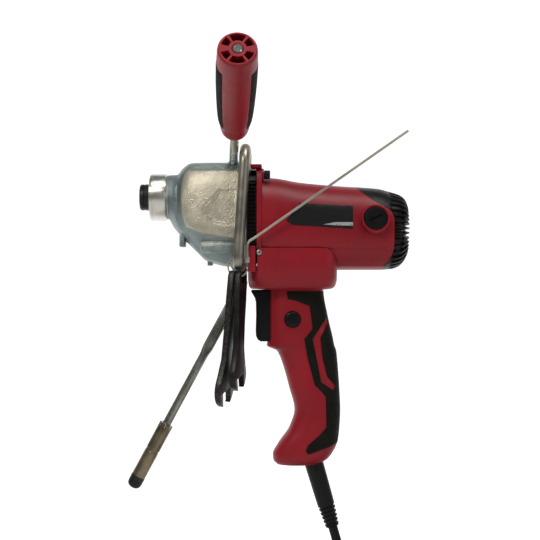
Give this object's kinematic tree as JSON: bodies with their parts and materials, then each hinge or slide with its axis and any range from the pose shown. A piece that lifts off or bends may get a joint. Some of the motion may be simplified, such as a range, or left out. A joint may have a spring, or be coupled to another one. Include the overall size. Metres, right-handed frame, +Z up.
{
  "type": "drain snake machine",
  "caption": "Corded pistol-grip geared drive for drain snakes, with a side handle, steel bail, folding prop rod and two hanging flat spanners.",
  "frame": {"origin": "where the hand holds the pistol grip, on the tool's middle plane", "axes": "+X to the rear of the motor, along the spindle and motor axes; +Z up, with the grip hanging down; the output spindle points to -X"},
  "size_m": [0.3185, 0.3129, 0.4795],
  "materials": {
    "cast_housing": "rough die casting",
    "turned_nose": "turned bright metal",
    "machine_steel": "machined",
    "black_steel": "black oxide",
    "chrome_rod": "polished",
    "bail_steel": "zinc plated, dull",
    "red_plastic": "satin moulded",
    "black_plastic": "satin moulded",
    "soft_grip": "fine grained overmould",
    "cord_rubber": "smooth sheath",
    "copper": "enamelled copper",
    "graphite": "pressed carbon",
    "tie_nylon": "natural nylon"
  },
  "bodies": {
    "machine": {"brush_cap_left": "black_plastic", "brush_cap_right": "black_plastic", "carbon_brush_left": "graphite", "carbon_brush_right": "graphite", "cord_clamp": "black_plastic", "cord_coil": "cord_rubber", "cord_guard": "cord_rubber", "ear_screw_left": "machine_steel", "ear_screw_right": "machine_steel", "end_cap": "black_plastic", "field_coil_lower": "copper", "field_coil_upper": "copper", "field_core": "machine_steel", "gear_housing": "cast_housing", "gear_plate": "cast_housing", "grip_cover_left": "soft_grip", "grip_cover_right": "soft_grip", "grip_screw_lower": "machine_steel", "grip_screw_upper": "machine_steel", "handle_shell_left": "red_plastic", "handle_shell_right": "red_plastic", "housing_screw_1": "black_steel", "housing_screw_2": "black_steel", "housing_screw_3": "black_steel", "housing_screw_4": "black_steel", "layshaft_bush_front": "machine_steel", "layshaft_bush_rear": "machine_steel", "motor_bearing_front": "machine_steel", "motor_bearing_rear": "machine_steel", "motor_housing": "red_plastic", "nose_sleeve": "turned_nose", "plug": "black_plastic", "power_cord": "cord_rubber", "prop_bolt": "bail_steel", "side_handle_grip": "red_plastic", "side_handle_inlay_left": "soft_grip", "side_handle_inlay_right": "soft_grip", "side_handle_rod": "chrome_rod", "spindle_bearing_front": "machine_steel", "spindle_bearing_rear": "machine_steel", "switch_body": "black_plastic", "trigger_spring": "machine_steel", "vent_ring": "black_plastic"},
    "spindle": {"output_spindle": "black_steel", "output_gear": "machine_steel"},
    "layshaft_set": {"layshaft": "machine_steel", "layshaft_gear": "machine_steel"},
    "armature": {"armature_shaft": "machine_steel", "armature_core": "machine_steel", "commutator": "copper", "cooling_fan": "black_plastic"},
    "trigger_lever": {"trigger": "black_plastic"},
    "lock_knob": {"lock_button": "black_plastic"},
    "bail_loop": {"bail": "bail_steel", "cable_tie": "tie_nylon"},
    "large_spanner": {"spanner_large": "black_steel"},
    "small_spanner": {"spanner_small": "black_steel"},
    "prop_leg": {"prop_rod": "bail_steel", "prop_sleeve": "bail_steel"}
  },
  "joints": [
    {"name": "armature_spin", "type": "hinge", "parent": "machine", "child": "armature", "pos_m": [0, 0, 0.1293], "axis": [1, 0, 0], "continuous": true},
    {"name": "layshaft_spin", "type": "hinge", "parent": "machine", "child": "layshaft_set", "pos_m": [0, 0.01492, 0.13436], "axis": [1, 0, 0], "continuous": true},
    {"name": "spindle_spin", "type": "hinge", "parent": "machine", "child": "spindle", "pos_m": [0, 0, 0.1582], "axis": [1, 0, 0], "continuous": true},
    {"name": "trigger_pull", "type": "slide", "parent": "machine", "child": "trigger_lever", "axis": [1, 0, 0], "range_m": [0, 0.007], "stiffness_N_per_m": 900, "springref_m": -0.003},
    {"name": "lock_button_press", "type": "slide", "parent": "machine", "child": "lock_knob", "axis": [0, 1, 0], "range_m": [0, 0.0025], "stiffness_N_per_m": 800, "springref_m": -0.002},
    {"name": "bail_swing", "type": "hinge", "parent": "machine", "child": "bail_loop", "pos_m": [-0.056, 0, 0.097], "axis": [0, 1, 0], "range_deg": [0, 34]},
    {"name": "spanner_large_swing", "type": "hinge", "parent": "bail_loop", "child": "large_spanner", "pos_m": [-0.0593, -0.0335, 0.08507], "axis": [0.9354, -0.3404, -0.0958], "range_deg": [-18, 4]},
    {"name": "spanner_small_swing", "type": "hinge", "parent": "bail_loop", "child": "small_spanner", "pos_m": [-0.0534, -0.0335, 0.08476], "axis": [0.9391, -0.3418, -0.0349], "range_deg": [-18, 4]},
    {"name": "prop_fold", "type": "hinge", "parent": "machine", "child": "prop_leg", "pos_m": [-0.0528, 0.008, 0.0795], "axis": [0, 1, 0], "range_deg": [-20, 74]}
  ],
  "couplings": [
    {"joint": "layshaft_spin", "follows": "armature_spin", "ratio": -0.25},
    {"joint": "spindle_spin", "follows": "armature_spin", "ratio": 0.054054}
  ]
}
